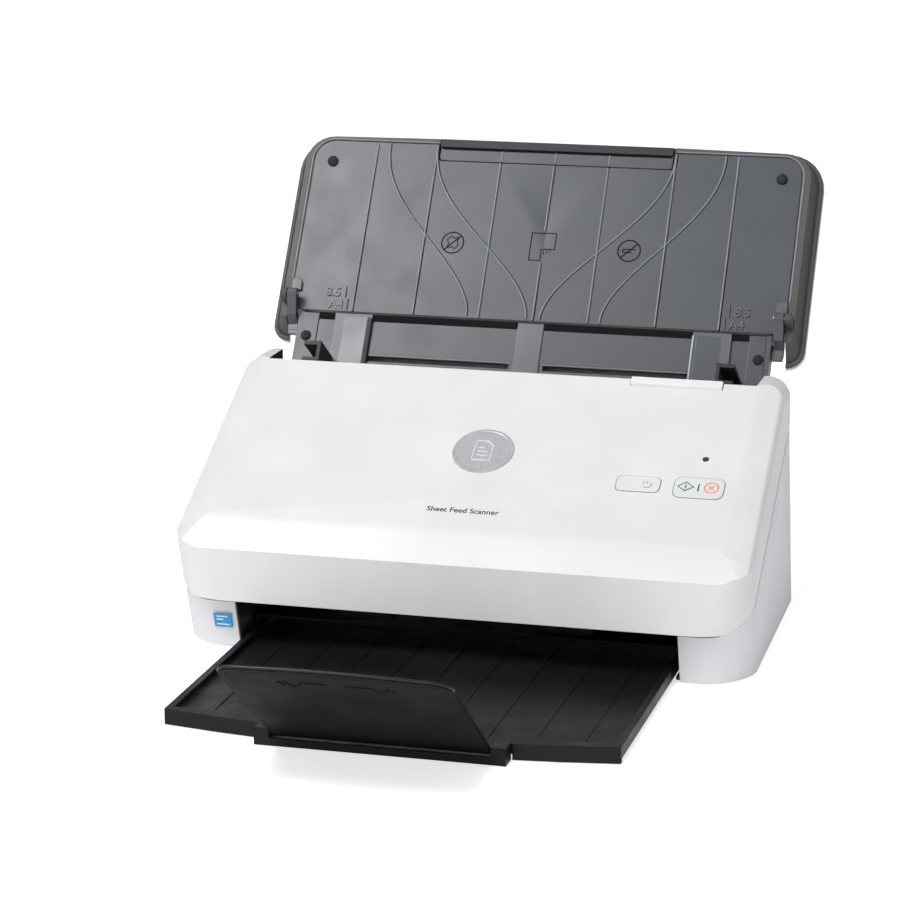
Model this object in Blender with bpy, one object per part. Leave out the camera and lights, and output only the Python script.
"""Sheet fed document scanner with a folding input tray, an opening front cover and a sliding output tray.

Side-view points are (y, z) pairs in millimetres: y runs to the back, z runs up, x runs to the right and is
zero in the middle. Every mesh is written in metres.
"""
from math import asin, atan2, cos, hypot, pi, radians, sin

import bmesh
import bpy
from mathutils import Vector

MM = 0.001
GAP = 0.4                     # clearance between neighbours
WALL = 2.5                    # shell thickness
HALF_WIDTH = 154.2            # housing half width at the back of the cheeks
FLARE = 0.025                 # how much the half width grows for each millimetre forward
Y_SHIFT = 82.33               # moves the middle of the object's box to y = 0

# Side view of the housing
TOP_EDGE = (24.3, 136.3)      # rear upper edge of the front cover
SLOPE_FOOT = (-84.6, 74.3)    # lower edge of the long sloped face
BEVEL_FOOT = (-99.0, 58.5)    # lower edge of the bevel under it
LIP = (-101.2, 30.4)          # lowest front edge of the cover
SEAM_REAR = (49.0, 110.0)     # where the seam between cover and base starts at the back
SEAM_FRONT = (-95.0, 30.4)    # where the seam turns level
SEAM_GAP = 1.6
BASE_FRONT = ((-97.5, 28.8), (-88.5, 1.2))
BASE_REAR = ((70.0, 110.0), (97.0, 1.2))
BASE_BOTTOM = 1.2
SHOULDER = 110.0              # level top of the base behind the cheeks
BASE_RADIUS = 28.5            # front corners of the base, seen from above
COVER_CORNER = ((30.4, 31.0), (66.0, 14.0))   # (height, radius) of the cover's front corners at two levels
REAR_RADIUS = 25.0
CHEEK_INNER = 139.5           # inner face of the cover's cheeks
CHEEK_REAR = 49.0
CHEEK_TOP = 136.6             # level crown of the cheeks
CHEEK_RADIUS = 12.0           # between the crown and the housing's side
BEVEL_EDGE = 140.0            # half width of the sloped face
BEVEL_DROP = 5.0              # how far the side bevels fall below the sloped face
OPENING_HALF = 121.0          # half width of the paper outlet

# Input tray plane: s runs up the tray, n stands out of its front
TRAY_FOOT = (79.4, 154.0)
TRAY_LEAN = radians(33.3)     # back from vertical
TRAY_TOP = 112.5
TRAY_HALF = 154.0
RIM_HALF = 145.5
TRAY_HINGE = (7.0, 6.5)       # (s, n)
ARM_R = 3.2                   # round end of the arms that carry the hinge
ARM_X = (139.6, 145.0)        # the right arm
DECK_HALF = 138.4
EAR_INNER = 146.1             # inner face of the tray's ears
DECK_END = -74.0

# Paper path: a straight run under the cover, this far below the seam
PATH_DROP = 13.0
SEAM_ANGLE = atan2(SEAM_REAR[1] - SEAM_FRONT[1], SEAM_REAR[0] - SEAM_FRONT[0])
FEED_Y, DRIVE_Y, EXIT_Y = 22.0, -8.0, -70.0
FEED_R, DRIVE_R, EXIT_R = 11.0, 8.0, 8.0
SEPARATOR_R, PINCH_R = 10.0, 6.0
SHAFT_R = 3.0
PULLEY_X = (-131.0, -127.0)

COVER_HINGE = (-98.4, 32.6)

# Output tray
TRAY_OUT_FRONT = -220.0
TRAY_OUT_REAR = -46.0
TRAY_OUT_HALF = 117.5
TRAY_OUT_BOW = 8.0
BLOCK_HALF = 64.3
BLOCK_FRONT = -237.6
FLAP_HINGE = (-235.6, 7.6)
FLAP_RISE = radians(36.2)
FLAP_LENGTH = 102.0
FLAP_BOW = 2.6                # how far the middle of the flap's free edge stands over its corners
FLAP_CORNER = 9.0
FLAP_HALF = 55.8
FLAP_TOP_HALF = 57.2

# Keys in the sloped face: (x range, t range, corner radius), where t runs down the face
POWER_KEY = ((77.0, 100.6), (76.3, 87.8), 3.0)
SCAN_KEY = ((108.2, 135.0), (74.6, 90.0), 4.0)
STATUS_LIGHT = (121.4, 59.9)
LATCH_X = (70.0, 121.0)
LATCH_Y = 20.0
LATCH_FOOT = 123.0

# Drive train
MOTOR = (6.0, 29.0)
MOTOR_PULLEY_R, FEED_PULLEY_R, DRIVE_PULLEY_R, EXIT_PULLEY_R = 5.0, 10.0, 8.0, 8.0
ROLLER_X = (40.0, 70.0)       # the drive and exit tyres on each side
FEED_TYRE_HALF = 30.0

# Rubber pads that keep the folded tray off the deck: (x, s)
DECK_BUMPER = (132.2, -16.5)
TRAY_BUMPER = (133.5, 94.2)

# Paper guides
GUIDE_X = (94.0, 116.0)       # plate of the right guide at rest
FENCE_X = (114.0, 116.0)
TAB_X = (97.8, 102.6)
GUIDE_SLOT = -28.3            # s of the slots and of the pinion between the two racks
PINION_TEETH = 12
MODULE = 1.2
PITCH_R = MODULE * PINION_TEETH / 2
TOOTH_TIP, TOOTH_ROOT = 0.8, 1.2
TIP_HALF, ROOT_HALF = 0.45, 0.95
RACK_N = (-6.5, -4.1)

# Sockets in the back: centres in (x, z)
USB_CENTRE = (42.5, 31.0)
JACK_CENTRE = (75.0, 31.0)
JACK_R = 5.5
FOOT_X, FOOT_Y, FOOT_R = 138.0, 58.0, 6.4

WHITE = (0.86, 0.87, 0.87)
SLATE = (0.10, 0.11, 0.12)
CHARCOAL = (0.025, 0.026, 0.028)
RUBBER = (0.012, 0.012, 0.013)
STEEL = (0.62, 0.63, 0.65)


# ---------------------------------------------------------------- scene helpers
def clear_scene():
    for obj in list(bpy.data.objects):
        bpy.data.objects.remove(obj, do_unlink=True)


def material(name, color, roughness=0.5, metallic=0.0):
    mat = bpy.data.materials.new(name + "_finish")
    mat.use_nodes = True
    shader = mat.node_tree.nodes["Principled BSDF"]
    shader.inputs["Base Color"].default_value = (*color, 1.0)
    shader.inputs["Roughness"].default_value = roughness
    shader.inputs["Metallic"].default_value = metallic
    return mat


def node(name, bm, look=None, origin=(0.0, 0.0, 0.0)):
    """Turns a bmesh in millimetres into an object whose origin is at the given point."""
    bmesh.ops.translate(bm, verts=bm.verts, vec=-Vector(origin))
    bmesh.ops.scale(bm, verts=bm.verts, vec=(MM, MM, MM))
    bmesh.ops.recalc_face_normals(bm, faces=bm.faces)
    mesh = bpy.data.meshes.new(name)
    bm.to_mesh(mesh)
    bm.free()
    obj = bpy.data.objects.new(name, mesh)
    obj.location = Vector(origin) * MM
    obj.parent = ROOT
    bpy.context.collection.objects.link(obj)
    if look:
        mesh.materials.append(material(name, *look))
        mesh.shade_smooth()
        mesh.set_sharp_from_angle(angle=radians(30))
    return obj


def tool(bm, name="tool"):
    """A cutter or a part of a union: it's left out of the model itself."""
    obj = node(name, bm)
    obj.hide_render = True
    obj.display_type = "WIRE"
    return obj


def boolean(obj, operation, *others):
    for other in others:
        mod = obj.modifiers.new(operation.lower(), "BOOLEAN")
        mod.operation = operation
        mod.object = other
    return obj


def cut(obj, *others):
    return boolean(obj, "DIFFERENCE", *others)


def join(obj, *others):
    return boolean(obj, "UNION", *others)


# ---------------------------------------------------------------- shape helpers
def sides(near, far):
    """The x ranges on the left and on the right between two distances from the middle."""
    return (-far, -near), (near, far)


def loft(rings):
    """A closed body through rings of equally many points, with flat ends."""
    bm = bmesh.new()
    loops = [[bm.verts.new(point) for point in ring] for ring in rings]
    for low, high in zip(loops, loops[1:]):
        for i in range(len(low)):
            j = (i + 1) % len(low)
            bm.faces.new((low[i], low[j], high[j], high[i]))
    bm.faces.new(loops[0][::-1])
    bm.faces.new(loops[-1])
    return bm


def side_prism(outline, x_low, x_high):
    """A side-view outline, extruded across the object."""
    return loft([[(x, y, z) for y, z in outline] for x in (x_low, x_high)])


def block(x, y, z):
    """A box from three (low, high) pairs."""
    return side_prism([(y[0], z[0]), (y[1], z[0]), (y[1], z[1]), (y[0], z[1])], *x)


def on_tray(s, n):
    """The side-view point that is s up the input tray's plane and n in front of it."""
    return (
        TRAY_FOOT[0] + s * sin(TRAY_LEAN) - n * cos(TRAY_LEAN),
        TRAY_FOOT[1] + s * cos(TRAY_LEAN) + n * sin(TRAY_LEAN),
    )


def tray_prism(outline, n_low, n_high):
    """An (x, s) outline on the input tray's plane, extruded along its normal."""
    return loft([[(x, *on_tray(s, n)) for x, s in outline] for n in (n_low, n_high)])


def tray_block(x, s, n):
    return tray_prism([(x[0], s[0]), (x[1], s[0]), (x[1], s[1]), (x[0], s[1])], *n)


def on_slope(t, n=0.0):
    """The side-view point that is t down the sloped face and n above it."""
    dy, dz = SLOPE_FOOT[0] - TOP_EDGE[0], SLOPE_FOOT[1] - TOP_EDGE[1]
    length = hypot(dy, dz)
    dy, dz = dy / length, dz / length
    return (TOP_EDGE[0] + t * dy + n * dz, TOP_EDGE[1] + t * dz - n * dy)


def slope_prism(outline, n_low, n_high):
    """An (x, t) outline on the sloped face, extruded along its normal."""
    return loft([[(x, *on_slope(t, n)) for x, t in outline] for n in (n_low, n_high)])


def path(y, above=0.0):
    """The side-view point on the paper path at y, moved above it."""
    z = SEAM_REAR[1] + (y - SEAM_REAR[0]) * sin(SEAM_ANGLE) / cos(SEAM_ANGLE) - PATH_DROP
    return (y - above * sin(SEAM_ANGLE), z + above * cos(SEAM_ANGLE))


def path_prism(y_low, y_high, low, high, x_low, x_high):
    """A plate along the paper path, between two heights above it."""
    corners = [path(y_low, low), path(y_high, low), path(y_high, high), path(y_low, high)]
    return side_prism(corners, x_low, x_high)


def arc(centre, radius, start, end, steps):
    """Points along an arc, with angles in degrees."""
    angles = [radians(start + (end - start) * i / steps) for i in range(steps + 1)]
    return [(centre[0] + radius * cos(a), centre[1] + radius * sin(a)) for a in angles]


def rounded(u, v, radius, steps=4):
    """A rounded rectangle from two (low, high) pairs, anticlockwise from the lower right corner.

    radius is one number, or four: lower right, upper right, upper left, lower left.
    """
    radii = radius if isinstance(radius, tuple) else (radius,) * 4
    centres = [
        (u[1] - radii[0], v[0] + radii[0]),
        (u[1] - radii[1], v[1] - radii[1]),
        (u[0] + radii[2], v[1] - radii[2]),
        (u[0] + radii[3], v[0] + radii[3]),
    ]
    points = []
    for i, (centre, r) in enumerate(zip(centres, radii)):
        points += arc(centre, r, 90 * i - 90, 90 * i, steps)
    return points


def turned(centre, profile, steps=20):
    """A body of revolution about an axis along X; profile is a list of (x, radius)."""
    circle = arc((0.0, 0.0), 1.0, 0, 360 - 360 / steps, steps - 1)
    return loft([[(x, centre[0] + r * c, centre[1] + r * s) for c, s in circle] for x, r in profile])


def rod(centre, radius, x_low, x_high, steps=16):
    return turned(centre, [(x_low, radius), (x_high, radius)], steps)


def sleeve(name, centre, outer, inner, x_low, x_high, look, steps=20):
    """A ring about an axis along X."""
    profile = [(x_low, inner), (x_low, outer), (x_high, outer), (x_high, inner)]
    circle = arc((0.0, 0.0), 1.0, 0, 360 - 360 / steps, steps - 1)
    bm = bmesh.new()
    rings = [
        [bm.verts.new((x, centre[0] + r * c, centre[1] + r * s)) for c, s in circle]
        for x, r in profile
    ]
    for low, high in zip(rings, rings[1:] + rings[:1]):
        for i in range(steps):
            j = (i + 1) % steps
            bm.faces.new((low[i], low[j], high[j], high[i]))
    return node(name, bm, look, origin=(0.0, *centre))


# ---------------------------------------------------------------- convex bodies from planes
def side_plane(p, q, outward):
    """The plane through two side-view points that runs across the object."""
    normal = Vector((0.0, -(q[1] - p[1]), q[0] - p[0])).normalized()
    if normal.dot(Vector((0.0, *outward))) < 0:
        normal.negate()
    return normal, normal.dot(Vector((0.0, *p)))


def round_edge(first, second, radius, steps):
    """The planes that round the edge where two planes meet."""
    (na, da), (nb, db) = first, second
    c = na.dot(nb)
    ra, rb = da - radius, db - radius
    centre = (na * (ra - c * rb) + nb * (rb - c * ra)) / (1 - c * c)
    planes = []
    for i in range(1, steps):
        normal = na.slerp(nb, i / steps)
        planes.append((normal, normal.dot(centre) + radius))
    return planes


def mirror_plane(plane):
    normal, distance = plane
    return Vector((-normal.x, normal.y, normal.z)), distance


def both_sides(planes):
    return planes + [mirror_plane(p) for p in planes]


def convex(planes, inset=0.0, reach=400.0):
    """The closed body inside all the planes, each moved in by inset."""
    bm = bmesh.new()
    bmesh.ops.create_cube(bm, size=2 * reach)
    for normal, distance in planes:
        cutting = bmesh.ops.bisect_plane(
            bm,
            geom=bm.verts[:] + bm.edges[:] + bm.faces[:],
            dist=1e-5,
            plane_co=normal * (distance - inset),
            plane_no=normal,
            clear_outer=True,
        )
        edges = [e for e in cutting["geom_cut"] if isinstance(e, bmesh.types.BMEdge)]
        if edges:
            bmesh.ops.contextual_create(bm, geom=edges)
    return bm


SIDE_NORMAL = Vector((1.0, FLARE, 0.0)).normalized()
SIDE = (SIDE_NORMAL, SIDE_NORMAL.dot(Vector((HALF_WIDTH, CHEEK_REAR, 0.0))))
SLOPE = side_plane(TOP_EDGE, SLOPE_FOOT, (-0.5, 1.0))
BEVEL = side_plane(SLOPE_FOOT, BEVEL_FOOT, (-1.0, 1.0))
FRONT = side_plane(BEVEL_FOOT, LIP, (-1.0, 0.0))


def side_bevel():
    """The plane that falls from the sloped face's long edge to the housing's side."""
    normal, distance = SLOPE
    tilt = asin(BEVEL_DROP / (HALF_WIDTH - BEVEL_EDGE))
    tilted = (normal * cos(tilt) + Vector((1.0, 0.0, 0.0)) * sin(tilt)).normalized()
    return tilted, tilted.dot(Vector((BEVEL_EDGE, *TOP_EDGE)))


def corner_facet():
    """The small plane across the corner between the side bevel and the lower bevel."""
    normal = (side_bevel()[0] + BEVEL[0] + Vector((0.35, 0.0, 0.0))).normalized()
    return normal, normal.dot(Vector((BEVEL_EDGE + 1.0, *SLOPE_FOOT))) + 0.4


def cover_corner(steps):
    """The planes that round the cover's front corner, as a cone that is narrower at the top."""
    centres = []
    for z, radius in COVER_CORNER:
        share = (z - LIP[1]) / (BEVEL_FOOT[1] - LIP[1])
        y = LIP[0] + share * (BEVEL_FOOT[0] - LIP[0]) + radius
        centres.append(Vector((HALF_WIDTH + FLARE * (CHEEK_REAR - y) - radius, y, z)))
    planes = []
    for i in range(1, steps):
        a = radians(90 * i / steps)
        outward, along = Vector((cos(a), -sin(a), 0.0)), Vector((sin(a), cos(a), 0.0))
        low, high = (c + outward * radius for c, (z, radius) in zip(centres, COVER_CORNER))
        normal = along.cross(high - low).normalized()
        planes.append((normal, normal.dot(low)))
    return planes


def cover_planes(floor=20.0, steps=8):
    crown = (Vector((0.0, 0.0, 1.0)), CHEEK_TOP)
    right = [SIDE, side_bevel(), corner_facet()] + cover_corner(steps)
    right += round_edge(side_bevel(), SIDE, 6.0, 4) + round_edge(crown, SIDE, CHEEK_RADIUS, 5)
    level = (Vector((0.0, 0.0, -1.0)), -floor)
    rear = (Vector((0.0, 1.0, 0.0)), CHEEK_REAR)
    return [SLOPE, BEVEL, FRONT, crown, level, rear] + both_sides(right)


def base_planes(bottom=BASE_BOTTOM, steps=8):
    front = side_plane(*BASE_FRONT, (-1.0, 0.0))
    rear = side_plane(*BASE_REAR, (1.0, 0.0))
    right = [SIDE] + round_edge(front, SIDE, BASE_RADIUS, steps) + round_edge(rear, SIDE, REAR_RADIUS, steps)
    top = (Vector((0.0, 0.0, 1.0)), SHOULDER)
    level = (Vector((0.0, 0.0, -1.0)), -bottom)
    return [front, rear, top, level] + both_sides(right)


def seam_outline(drop, z_far):
    """The side-view region on one side of the seam, closed at z_far; drop lowers the seam itself."""
    far = 300.0
    return [
        (far, SEAM_REAR[1] - drop),
        (SEAM_REAR[0], SEAM_REAR[1] - drop),
        (SEAM_FRONT[0], SEAM_FRONT[1] - drop),
        (-far, SEAM_FRONT[1] - drop),
        (-far, z_far),
        (far, z_far),
    ]


# ---------------------------------------------------------------- housing
def hinge_tool(radius, pad=0.0):
    """The cover hinge's pin on the right side, wider by pad."""
    return rod(COVER_HINGE, radius, 119.0 - pad, 135.0 + pad, 12)


def mirrored(bm):
    bmesh.ops.scale(bm, verts=bm.verts, vec=(-1.0, 1.0, 1.0))
    bmesh.ops.reverse_faces(bm, faces=bm.faces)
    return bm


def pair(make):
    """One body for each side of the object from a function that makes the right one."""
    return make(), mirrored(make())


def build_base_shell():
    shell = node("base_shell", convex(base_planes()), (WHITE, 0.45))
    above = tool(side_prism(seam_outline(SEAM_GAP, 300.0), -200, 200))
    inside = tool(convex(base_planes(-10.0), WALL))
    deck_well = tool(block((-139.2, 139.2), (40.0, 67.0), (90.0, 120.0)))
    outlet = tool(block((-OPENING_HALF, OPENING_HALF), (-120.0, -60.0), (-5.0, 40.0)))
    usb = tool(around(USB_CENTRE, 6.5, 6.4, 80.0, 110.0))
    power = tool(rod_y(JACK_CENTRE, JACK_R + GAP, 78.0, 110.0))
    cut(shell, above, inside, deck_well, outlet, usb, power)
    for bm in pair(hinge_lug):
        join(shell, tool(bm))
    for bm in pair(lambda: hinge_tool(1.15, 3.0)):
        cut(shell, tool(bm))
    return shell


def rod_y(centre, radius, y_low, y_high, steps=20):
    """A cylinder along Y; centre is (x, z)."""
    circle = arc(centre, radius, 0, 360 - 360 / steps, steps - 1)
    return loft([[(x, y, z) for x, z in circle] for y in (y_low, y_high)])


def around(centre, half_x, half_z, y_low, y_high):
    """A box round an (x, z) centre."""
    x, z = centre
    return block((x - half_x, x + half_x), (y_low, y_high), (z - half_z, z + half_z))


def hinge_lug():
    """Rises from the base's front pillar and reaches forward around the hinge pin."""
    y, z = COVER_HINGE
    nose = arc(COVER_HINGE, 1.9, 90, 270, 6)
    outline = nose + [(y + 3.6, z - 1.9), (y + 3.6, 24.0), (y + 6.2, 24.0), (y + 6.2, z + 1.9)]
    return side_prism(outline, 124.5, 129.5)


def build_rear_cover():
    outer = [(71.0, 110.6), (88.0, 139.0), on_tray(-1.6, -3.5)]
    inner = [on_tray(-4.6, -3.5), (84.8, 139.2), (68.2, 111.6), (68.2, 110.6)]
    return node("rear_cover", side_prism(outer + inner, -134.8, 134.8), (WHITE, 0.45))


def build_bottom_cover():
    """A hat-shaped channel: the output tray slides under its raised middle, on two ledges."""
    side = [(151.8, 3.6), (151.8, 1.2), (112.0, 1.2), (112.0, 2.1), (119.2, 2.1), (119.2, 10.2)]
    roof = [(121.2, 12.0), (121.2, 3.6)]
    outline = side + [(-x, z) for x, z in side[::-1]] + [(-x, z) for x, z in roof[::-1]] + roof
    channel = loft([[(x, y, z) for x, z in outline] for y in (-62.0, 110.0)])
    cover = node("bottom_cover", channel, (CHARCOAL, 0.6))
    flange = side[:2] + [(118.4, 1.2), (118.4, 3.4)]
    for bm in pair(lambda: loft([[(x, y, z) for x, z in flange] for y in (-110.0, -58.0)])):
        join(cover, tool(bm))
    return boolean(cover, "INTERSECT", tool(convex(base_planes(-20.0), WALL + GAP)))


def build_feed_deck():
    deck = node("feed_deck", tray_block((-137.4, 137.4), (DECK_END, -1.2), (-3.0, 0.0)), (SLATE, 0.55))
    for bm in pair(deck_side):
        join(deck, tool(bm))
    for bm in pair(deck_arm) + pair(deck_arm_foot):
        join(deck, tool(bm))
    for x_range in sides(10.0, 106.0):
        cut(deck, tool(tray_block(x_range, (GUIDE_SLOT - 1.7, GUIDE_SLOT + 1.7), (-10.0, 10.0))))
    join(deck, tool(tray_prism(arc((0.0, GUIDE_SLOT), 1.9, 0, 330, 11), -7.5, -2.0)))
    for bm in pair(lambda: rod(on_tray(*TRAY_HINGE), 1.75, 130.0, 150.0, 12)):
        cut(deck, tool(bm))
    return deck


def deck_side():
    """The wall down the deck's outer edge."""
    corners = [on_tray(-1.5, 0.3), on_tray(-1.5, -9.0), on_tray(-52.0, -9.0), on_tray(-52.0, 0.3)]
    return side_prism(corners, 135.4, DECK_HALF)


def deck_arm():
    """Carries the input tray's hinge: a slim fin that reaches up in front of the tray."""
    s, n = TRAY_HINGE
    turns = [radians(30 * i - 60) for i in range(8)]
    tip = [on_tray(s + ARM_R * sin(a), n + ARM_R * cos(a)) for a in turns]
    foot = [(-1.5, 0.9), (-4.0, -7.5), (-12.0, -7.5), (-12.0, -3.2), (-8.5, -3.2), (-5.0, 3.0)]
    return side_prism(tip + [on_tray(*corner) for corner in foot], ARM_X[0], ARM_X[1])


def deck_arm_foot():
    """Ties the fin to the deck's side, behind the deck's face."""
    corners = [(-4.4, -7.2), (-14.0, -7.2), (-14.0, -3.4), (-9.0, -3.4)]
    return side_prism([on_tray(*corner) for corner in corners], 137.0, ARM_X[1] - 0.3)


def build_paper_guide():
    guide = node("lower_paper_guide", path_prism(-80.0, 33.0, -3.0, -1.0, -118.0, 118.0), (CHARCOAL, 0.5))
    cut(guide, tool(path_prism(-47.0, -21.0, -20.0, 5.0, -110.4, 110.4)))
    for centre, radius, low, high in roller_wells():
        cut(guide, tool(rod(centre, radius, low, high, 20)))
    return guide


def lower_centre(y, radius):
    return path(y, -radius - 0.2)


def upper_centre(y, radius):
    return path(y, radius + 0.2)


def roller_wells():
    """The clearance round each lower roller, as (centre, radius, x_low, x_high)."""
    wells = [(lower_centre(FEED_Y, FEED_R), FEED_R + 1.0, -FEED_TYRE_HALF - 1.0, FEED_TYRE_HALF + 1.0)]
    for y, radius in ((DRIVE_Y, DRIVE_R), (EXIT_Y, EXIT_R)):
        for low, high in sides(ROLLER_X[0] - 1.0, ROLLER_X[1] + 1.0):
            wells.append((lower_centre(y, radius), radius + 1.0, low, high))
    return wells


def chassis_plate(side):
    """A steel side plate with a hole for each lower shaft."""
    low, high = sorted((side * 122.4, side * 123.9))
    outline = [(-92.6, 27.0), path(-84.0, 2.0), path(30.0, 2.0), (60.0, 86.0), (60.0, 12.6), (-62.0, 12.6)]
    outline += [(-62.0, 4.2), (-85.0, 4.2)]
    plate = node("chassis_plate_right" if side > 0 else "chassis_plate_left", side_prism(outline, low, high),
                 (STEEL, 0.35, 0.9))
    for y, radius in ((FEED_Y, FEED_R), (DRIVE_Y, DRIVE_R), (EXIT_Y, EXIT_R)):
        cut(plate, tool(rod(lower_centre(y, radius), SHAFT_R + 0.3, -200.0, 200.0, 16)))
    cut(plate, tool(rod(MOTOR, 4.4, -200.0, 200.0, 16)))
    return plate


def build_motor():
    return node("drive_motor", rod(MOTOR, 12.0, -122.4, -98.0, 24), (STEEL, 0.4, 0.8))


def hull_of_circles(circles, margin, steps=24):
    """The side-view outline of a belt wrapped round circles of (centre, radius), margin further out."""
    points = []
    for centre, radius in circles:
        points += arc(centre, radius + margin, 0, 360 - 360 / steps, steps - 1)
    points.sort()

    def chain(ordered):
        hull = []
        for p in ordered:
            while len(hull) > 1:
                a, b = hull[-2], hull[-1]
                if (b[0] - a[0]) * (p[1] - a[1]) - (b[1] - a[1]) * (p[0] - a[0]) > 1e-6:
                    break
                hull.pop()
            hull.append(p)
        return hull[:-1]

    return chain(points) + chain(points[::-1])


def build_drive_train():
    """Motor pulley, belt and the three driven shafts with their pulleys and rubber tyres."""
    shafts = (
        ("feed", lower_centre(FEED_Y, FEED_R), FEED_R, FEED_PULLEY_R, ((-FEED_TYRE_HALF, FEED_TYRE_HALF),)),
        ("drive", lower_centre(DRIVE_Y, DRIVE_R), DRIVE_R, DRIVE_PULLEY_R, sides(*ROLLER_X)),
        ("exit", lower_centre(EXIT_Y, EXIT_R), EXIT_R, EXIT_PULLEY_R, sides(*ROLLER_X)),
    )
    circles = [(MOTOR, MOTOR_PULLEY_R)]
    for name, centre, tyre_r, pulley_r, tyres in shafts:
        node(name + "_shaft", rod(centre, SHAFT_R, -133.0, 126.0), (STEEL, 0.25, 1.0), (0.0, *centre))
        sleeve(name + "_pulley", centre, pulley_r, SHAFT_R + 0.05, *PULLEY_X, (WHITE, 0.5))
        labels = ("",) if len(tyres) == 1 else ("_left", "_right")
        for label, (low, high) in zip(labels, tyres):
            sleeve(name + "_tyre" + label, centre, tyre_r, SHAFT_R + 0.05, low, high, (RUBBER, 0.85))
        circles.append((centre, pulley_r))
    pulley = [(PULLEY_X[0], MOTOR_PULLEY_R), (PULLEY_X[1], MOTOR_PULLEY_R), (PULLEY_X[1], 1.6), (-123.2, 1.6)]
    node("motor_pulley", turned(MOTOR, pulley), (STEEL, 0.3, 0.9), (0.0, *MOTOR))
    belt = node("drive_belt", side_prism(hull_of_circles(circles, 1.8), -130.6, -127.4), (RUBBER, 0.7))
    cut(belt, tool(side_prism(hull_of_circles(circles, 0.4), -140.0, -120.0)))


def build_scan_modules():
    """A contact image sensor bar with its glass on each side of the paper path."""
    for name, y_low, y_high, sign in (("lower", -46.5, -21.5, -1.0), ("upper", -52.0, -27.0, 1.0)):
        pane = path_prism(y_low, y_high, *sorted((sign * 0.9, sign * 2.6)), -110.0, 110.0)
        bar = path_prism(y_low, y_high, *sorted((sign * 3.0, sign * 15.0)), -112.0, 112.0)
        node(name + "_scan_glass", pane, ((0.3, 0.34, 0.34), 0.05))
        node(name + "_scan_bar", bar, (CHARCOAL, 0.5))


def build_electronics():
    node("main_board", block((10.0, 108.0), (74.0, 75.6), (15.0, 70.0)), ((0.02, 0.18, 0.08), 0.4))
    usb = node("usb_port", around(USB_CENTRE, 6.0, 6.0, 76.0, 92.4), (STEEL, 0.3, 0.9))
    cut(usb, tool(around(USB_CENTRE, 4.5, 4.5, 82.0, 99.0)))
    jack = node("power_jack", rod_y(JACK_CENTRE, JACK_R, 76.0, 93.4), (CHARCOAL, 0.4))
    cut(jack, tool(rod_y(JACK_CENTRE, 3.4, 82.0, 99.0)))


def build_small_fixed_parts():
    levels = ((0.0, FOOT_R - 0.4), (0.3, FOOT_R), (1.0, FOOT_R))
    for x, side in ((-FOOT_X, "left"), (FOOT_X, "right")):
        for y, end in ((-FOOT_Y, "front"), (FOOT_Y, "rear")):
            rings = [[(u, v, z) for u, v in arc((x, y), r, 0, 345, 23)] for z, r in levels]
            node(f"foot_{end}_{side}", loft(rings), (RUBBER, 0.8))
    for sign, side in ((-1.0, "left"), (1.0, "right")):
        bumper("deck_bumper_" + side, sign * DECK_BUMPER[0], DECK_BUMPER[1])
        pin = hinge_tool(0.85)
        node("cover_pin_" + side, pin if sign > 0 else mirrored(pin), (STEEL, 0.3, 1.0), (0.0, *COVER_HINGE))


def bumper(name, x, s):
    """A domed rubber pad standing on the tray's plane."""
    rings = [
        [(u, *on_tray(v, n)) for u, v in arc((x, s), r, 0, 330, 11)]
        for n, r in ((0.2, 3.3), (1.1, 3.2), (1.9, 2.3), (2.2, 1.0))
    ]
    return node(name, loft(rings), (RUBBER, 0.8))


# ---------------------------------------------------------------- front cover
def hopper_outline(shift=0.0):
    """The side-view region that the feed hopper takes out of the cover."""
    top = TOP_EDGE[0] - shift
    wall = 26.5 - shift
    return [(top, 200.0), (top, TOP_EDGE[1]), (wall, 104.0), (wall, 40.0), (90.0, 40.0), (90.0, 200.0)]


def build_front_cover():
    cover = node("front_cover", convex(cover_planes()), (WHITE, 0.42))
    below = tool(side_prism(seam_outline(0.0, -50.0), -200, 200))
    hopper = tool(side_prism(hopper_outline(), -CHEEK_INNER, CHEEK_INNER))
    thick_hopper = tool(side_prism(hopper_outline(WALL), -CHEEK_INNER - WALL, CHEEK_INNER + WALL))
    inside = tool(convex(cover_planes(-20.0), WALL))
    cut(inside, thick_hopper)
    nip = tool(block((-120.0, 120.0), (15.0, 40.0), (60.0, 103.6)))
    cut(cover, below, hopper, inside, nip)
    for bm in pair(lambda: block((119.5, 134.5), (-99.6, -95.0), (30.9, 36.5))):
        join(cover, tool(bm))
    for bm in pair(lambda: block((124.0, 130.0), (-100.5, -90.0), (20.0, 35.4))):
        cut(cover, tool(bm))
    for bm in pair(lambda: hinge_tool(1.15, 0.5)):
        cut(cover, tool(bm))
    for outline in (key_outline(POWER_KEY, GAP), key_outline(SCAN_KEY, GAP)):
        cut(cover, tool(slope_prism(outline, -6.0, 6.0)))
    cut(cover, tool(slope_prism(arc(STATUS_LIGHT, 1.9, 0, 330, 11), -6.0, 6.0)))
    latch_x = (LATCH_X[0] - GAP, LATCH_X[1] + GAP)
    cut(cover, tool(block(latch_x, (LATCH_Y - GAP, 40.0), (LATCH_FOOT - GAP, 160.0))))
    return cover


def key_outline(key, grow=0.0):
    (x0, x1), (t0, t1), radius = key
    return rounded((x0 - grow, x1 + grow), (t0 - grow, t1 + grow), radius + grow, 3)


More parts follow.
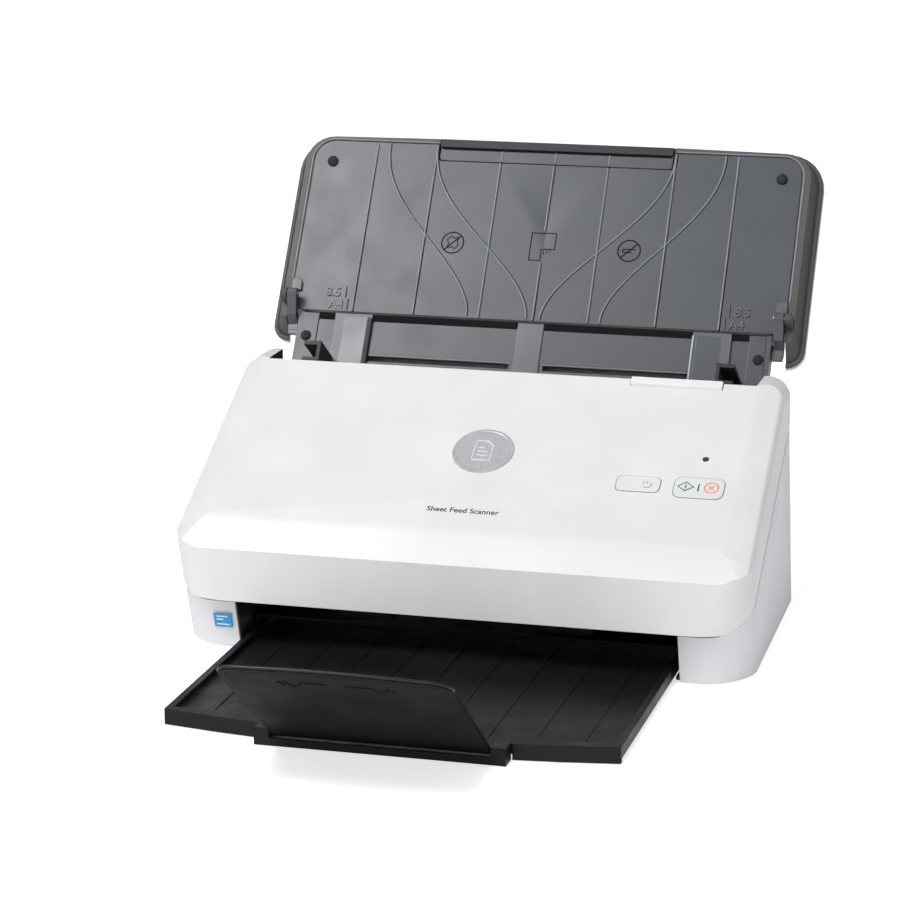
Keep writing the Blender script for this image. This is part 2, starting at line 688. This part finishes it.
def build_cover_parts():
    for name, key in (("power_button", POWER_KEY), ("scan_button", SCAN_KEY)):
        x_mid, t_mid = sum(key[0]) / 2, sum(key[1]) / 2
        button = slope_prism(key_outline(key), -4.5, 0.5)
        node(name, button, (WHITE, 0.4), (x_mid, *on_slope(t_mid)))
    light = slope_prism(arc(STATUS_LIGHT, 1.5, 0, 330, 11), -5.0, 0.4)
    node("status_light", light, ((0.05, 0.06, 0.06), 0.2))
    board = slope_prism(rounded((70.0, 138.0), (54.0, 96.0), 2.0, 2), -8.6, -7.0)
    node("control_board", board, ((0.02, 0.18, 0.08), 0.4))
    y, top = LATCH_Y, TOP_EDGE[0] + 0.2
    outline = [(y, LATCH_FOOT), (top, LATCH_FOOT), (top, 137.6), (top - 1.0, 138.0), (y, 135.2)]
    node("cover_latch", side_prism(outline, *LATCH_X), (WHITE, 0.4), (sum(LATCH_X) / 2, y, LATCH_FOOT))
    plate = node("cover_inner_plate", path_prism(-82.0, 8.0, 1.2, 3.0, -117.2, 117.2), (CHARCOAL, 0.5))
    for low, high in sides(116.0, 118.0):
        join(plate, tool(path_prism(-81.7, 23.5, 1.6, 24.0, low, high)))
    join(plate, tool(path_prism(-81.4, -79.8, 1.9, 9.0, -116.5, 116.5)))
    cut(plate, tool(path_prism(-52.6, -26.4, -5.0, 20.0, -112.6, 112.6)))
    for low, high in sides(ROLLER_X[0] - 2.0, ROLLER_X[1] + 2.0):
        cut(plate, tool(rod(upper_centre(DRIVE_Y, PINCH_R), PINCH_R + 1.0, low, high, 20)))
    for y, radius in ((FEED_Y, SEPARATOR_R), (DRIVE_Y, PINCH_R)):
        cut(plate, tool(rod(upper_centre(y, radius), 2.4, -130.0, 130.0, 12)))
    centre = upper_centre(FEED_Y, SEPARATOR_R)
    node("separation_shaft", rod(centre, 2.0, -118.5, 118.5, 12), (STEEL, 0.25, 1.0), (0.0, *centre))
    sleeve("separation_roller", centre, SEPARATOR_R, 2.05, -22.0, 22.0, (RUBBER, 0.85))
    centre = upper_centre(DRIVE_Y, PINCH_R)
    r = PINCH_R
    near, far = ROLLER_X
    profile = [(-118.5, 2.0), (-far, 2.0), (-far, r), (-near, r), (-near, 2.0)]
    profile += [(-x, radius) for x, radius in profile[::-1]]
    node("pinch_roller", turned(centre, profile, 16), (WHITE, 0.5), (0.0, *centre))


# ---------------------------------------------------------------- input tray
def tray_outline(half, top, ear, radius, crown):
    """The tray's (x, s) outline with an ear at each lower corner, anticlockwise from the right ear."""
    turn = half - EAR_INNER - 0.2
    right = [(EAR_INNER, 0.0), (EAR_INNER, ear)]
    right += arc((half - turn, ear + turn), turn, -90, 0, 5)
    right += arc((half - radius, top - radius), radius, 0, 90, 6)
    right += [(60.0, top + crown)]
    return right + [(-x, s) for x, s in right[::-1]]


def build_input_tray():
    hinge = (0.0, *on_tray(*TRAY_HINGE))
    front = tray_outline(RIM_HALF + 4.5, TRAY_TOP - 2.0, -5.0, 16.0, 1.0)
    back = tray_outline(TRAY_HALF, TRAY_TOP, -14.0, 20.0, 1.6)
    rings = [[(x, *on_tray(s, n)) for x, s in line] for line, n in ((back, -11.6), (front, 0.0))]
    panel = node("input_tray_panel", loft(rings), (SLATE, 0.5), hinge)
    cut(panel, tool(tray_block((-141.0, 141.0), (3.0, TRAY_TOP - 6.0), (-14.0, -3.0))))
    cut(panel, tool(tray_block((-69.8, 69.8), (97.6, 130.0), (-14.0, 3.0))))
    for bm in pair(tray_lug):
        join(panel, tool(bm))
    for bm in pair(lambda: rod(on_tray(*TRAY_HINGE), 1.75, 141.0, 155.0, 12)):
        cut(panel, tool(bm))
    shell = [[(x, *on_tray(s, n)) for x, s in tray_outline(TRAY_HALF + 0.6, TRAY_TOP + 0.6, -14.6, 20.0, 1.6)]
             for n in (-14.0, -12.0)]
    node("input_tray_back", loft(shell), (WHITE, 0.45), hinge)
    for sign, side in ((-1.0, "left"), (1.0, "right")):
        bumper("tray_bumper_" + side, sign * TRAY_BUMPER[0], TRAY_BUMPER[1])
        pin = rod(on_tray(*TRAY_HINGE), 1.4, 138.8, 149.0, 12)
        node("tray_pin_" + side, pin if sign > 0 else mirrored(pin), (STEEL, 0.3, 1.0), hinge)


def tray_lug():
    """Stands on the ear and takes the outer end of the hinge pin."""
    s, n = TRAY_HINGE
    turns = [radians(30 * i - 90) for i in range(7)]
    tip = [on_tray(s + ARM_R * sin(a), n + ARM_R * cos(a)) for a in turns]
    return side_prism(tip + [on_tray(s + ARM_R, -2.0), on_tray(s - ARM_R, -2.0)], 145.6, 149.3)


def build_input_extension():
    plate = node("input_extension", tray_block((-68.0, 68.0), (22.0, 98.5), (-8.4, -5.4)), (SLATE, 0.5),
                 (0.0, *on_tray(22.0, -7.0)))
    join(plate, tool(tray_prism(rounded((-69.2, 69.2), (98.0, TRAY_TOP - 1.5), 2.0, 2), -10.8, -0.6)))
    join(plate, tool(tray_block((-69.2, 69.2), (TRAY_TOP - 6.5, TRAY_TOP - 1.5), (-2.0, 1.0))))
    return plate


# ---------------------------------------------------------------- paper guides
def rack_outline():
    """The left guide's arm behind the deck, toothed along its lower edge, as (x, s) points."""
    pitch = pi * MODULE
    root = GUIDE_SLOT + PITCH_R + TOOTH_ROOT
    tip = GUIDE_SLOT + PITCH_R - TOOTH_TIP
    left, right = -TAB_X[1] - 0.4, -TAB_X[0] + 0.4
    points = [(left, GUIDE_SLOT - 1.3), (right, GUIDE_SLOT - 1.3), (right, root)]
    for k in range(-24, 3):
        x = pitch * (k + 0.5)
        points += [(x - ROOT_HALF, root), (x - TIP_HALF, tip), (x + TIP_HALF, tip), (x + ROOT_HALF, root)]
    return points + [(12.0, root), (12.0, root + 4.0), (left, root + 4.0)]


def pinion_outline():
    points = []
    for k in range(PINION_TEETH):
        middle = 2 * pi * k / PINION_TEETH
        for radius, offset in (
            (PITCH_R - TOOTH_ROOT, -ROOT_HALF),
            (PITCH_R + TOOTH_TIP, -TIP_HALF),
            (PITCH_R + TOOTH_TIP, TIP_HALF),
            (PITCH_R - TOOTH_ROOT, ROOT_HALF),
        ):
            a = middle + offset / radius
            points.append((radius * cos(a), GUIDE_SLOT + radius * sin(a)))
    return points


def build_guides():
    """Two fences on toothed arms, geared to each other by a pinion so that they stay centred."""
    fence = [(-29.0, 0.7), (-29.0, 26.4), (-51.0, 26.4), (-71.8, 13.0), (-71.8, 0.7)]
    for sign, side in ((-1.0, "left"), (1.0, "right")):
        def piece(x, s, n):
            return tray_block(sorted((sign * x[0], sign * x[1])), s, n)

        origin = (sign * FENCE_X[0], *on_tray(GUIDE_SLOT, 0.4))
        guide = node("paper_guide_" + side, piece(GUIDE_X, (-72.0, -2.0), (0.4, 1.6)), (SLATE, 0.5), origin)
        low, high = sorted(sign * x for x in FENCE_X)
        join(guide, tool(side_prism([on_tray(s, n) for s, n in fence], low, high)))
        join(guide, tool(piece((114.5, 124.0), (-42.0, -39.0), (14.0, 26.0))))
        join(guide, tool(piece((114.5, 124.0), (-31.5, -29.2), (1.0, 26.2))))
        join(guide, tool(piece(TAB_X, (GUIDE_SLOT - 1.2, GUIDE_SLOT + 1.2), (-5.2, 1.1))))
        rack = [(-sign * x, -sign * (s - GUIDE_SLOT) + GUIDE_SLOT) for x, s in rack_outline()]
        join(guide, tool(tray_prism(rack, *RACK_N)))
    pinion = node("guide_pinion", tray_prism(pinion_outline(), *RACK_N), (WHITE, 0.5),
                  (0.0, *on_tray(GUIDE_SLOT, RACK_N[0])))
    cut(pinion, tool(tray_prism(arc((0.0, GUIDE_SLOT), 2.3, 0, 330, 11), -10.0, 0.0)))


# ---------------------------------------------------------------- output tray
def bowed_front(half, corner, bow, steps=8):
    """Points of the output tray's front edge from right to left, bowed forward in the middle."""
    points = []
    for i in range(steps + 1):
        u = 1.0 - 2.0 * i / steps
        points.append((u * half, corner - bow * (1.0 - u * u) / (1.0 - (BLOCK_HALF / half) ** 2)))
    return points


def build_output_tray():
    front = bowed_front(TRAY_OUT_HALF, TRAY_OUT_FRONT, TRAY_OUT_BOW)
    outline = [(TRAY_OUT_HALF, TRAY_OUT_REAR)] + front + [(-TRAY_OUT_HALF, TRAY_OUT_REAR)]
    origin = (0.0, TRAY_OUT_REAR, 4.0)
    plate = loft([[(x, y, z) for x, y in outline] for z in (0.5, 9.0)])
    tray = node("output_tray", plate, (CHARCOAL, 0.5), origin)
    cut(tray, tool(block((-113.5, 113.5), (-216.0, 0.0), (5.4, 20.0))))
    cut(tray, tool(block((-61.0, 61.0), (-260.0, -210.0), (5.4, 20.0))))
    cut(tray, tool(block((-BLOCK_HALF - 0.6, BLOCK_HALF + 0.6), (-260.0, -96.0), (-5.0, 3.4))))
    for x_range in sides(110.5, 130.0):
        cut(tray, tool(block(x_range, (-217.0, 0.0), (-5.0, 2.5))))
    cut(tray, tool(block((-BLOCK_HALF - 0.6, BLOCK_HALF + 0.6), (-260.0, -227.0), (-5.0, 20.0))))
    return tray


def build_output_extension():
    origin = (0.0, -120.0, 2.0)
    blade = block((-62.0, 62.0), (-230.0, -120.0), (0.8, 3.0))
    plate = node("output_extension", blade, (CHARCOAL, 0.5), origin)
    join(plate, tool(block((-BLOCK_HALF, BLOCK_HALF), (BLOCK_FRONT, -227.4), (0.5, 9.6))))
    cut(plate, tool(block((-FLAP_HALF - 0.8, FLAP_HALF + 0.8), (-300.0, -200.0), (4.4, 20.0))))
    for bm in pair(lambda: rod(FLAP_HINGE, 1.5, FLAP_HALF - 1.0, 60.5, 12)):
        cut(plate, tool(bm))
    return plate


def flap_outline():
    """The flap's outline from its hinge edge, anticlockwise, with an arched free edge."""
    steps, shoulder = 4, FLAP_LENGTH - FLAP_BOW
    points = rounded((-FLAP_HALF, FLAP_HALF), (-2.6, shoulder), (1.0, FLAP_CORNER, FLAP_CORNER, 1.0), steps)
    reach = FLAP_HALF - FLAP_CORNER
    arch = [(x, shoulder + FLAP_BOW * cos(0.5 * pi * x / reach)) for x in range(36, -37, -12)]
    after = 2 * steps + 2
    return points[:after] + arch + points[after:]


def build_paper_stop():
    """A flap that stands up at the end of the output tray, with its stub axles."""
    y, z = FLAP_HINGE

    def at(reach, off):
        forward = reach * cos(FLAP_RISE) + off * sin(FLAP_RISE)
        return (y - forward, z + reach * sin(FLAP_RISE) - off * cos(FLAP_RISE))

    widen = (FLAP_TOP_HALF / FLAP_HALF - 1.0) / FLAP_LENGTH
    outline = flap_outline()
    rings = [[(x * (1.0 + widen * reach), *at(reach, off)) for x, reach in outline] for off in (-1.4, 1.4)]
    flap = node("paper_stop", loft(rings), (CHARCOAL, 0.5), (0.0, y, z))
    for bm in pair(lambda: rod(FLAP_HINGE, 1.1, FLAP_HALF - 3.0, 60.0, 12)):
        join(flap, tool(bm))
    return flap


clear_scene()
ROOT = bpy.data.objects.new("scanner", None)
ROOT.location = (0.0, Y_SHIFT * MM, 0.0)
bpy.context.collection.objects.link(ROOT)

build_base_shell()
build_rear_cover()
build_bottom_cover()
build_feed_deck()
build_paper_guide()
chassis_plate(-1.0)
chassis_plate(1.0)
build_motor()
build_drive_train()
build_scan_modules()
build_electronics()
build_small_fixed_parts()
build_front_cover()
build_cover_parts()
build_input_tray()
build_input_extension()
build_guides()
build_output_tray()
build_output_extension()
build_paper_stop()
